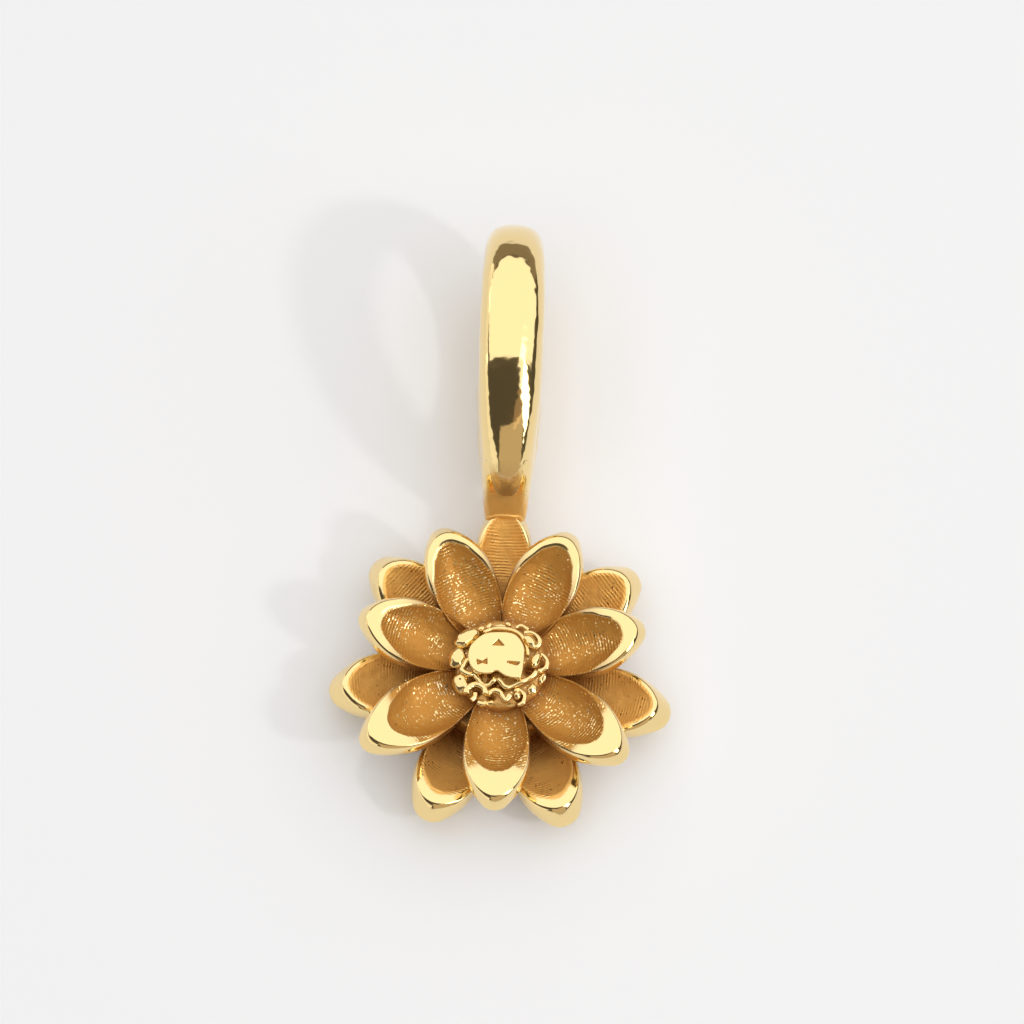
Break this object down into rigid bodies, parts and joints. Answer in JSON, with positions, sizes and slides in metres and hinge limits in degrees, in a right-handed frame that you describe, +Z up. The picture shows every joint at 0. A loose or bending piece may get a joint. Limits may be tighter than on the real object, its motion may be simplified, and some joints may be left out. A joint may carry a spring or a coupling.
{
  "type": "flower pendant",
  "caption": "Small polished yellow-metal flower charm with overlapping cupped petals, a granulated seed head and a long oval bail.",
  "frame": {"origin": "centre of the flower's flat back, on the surface that the charm lies on", "axes": "+Z up out of the flower's face, +Y from the flower's centre towards the bail, +X to the right seen from the face"},
  "size_m": [0.0102, 0.0181, 0.0055],
  "materials": {
    "gold": "polished yellow gold plate, satin inside the petals"
  },
  "bodies": {
    "root": {"flower_pendant": "gold"}
  },
  "joints": []
}
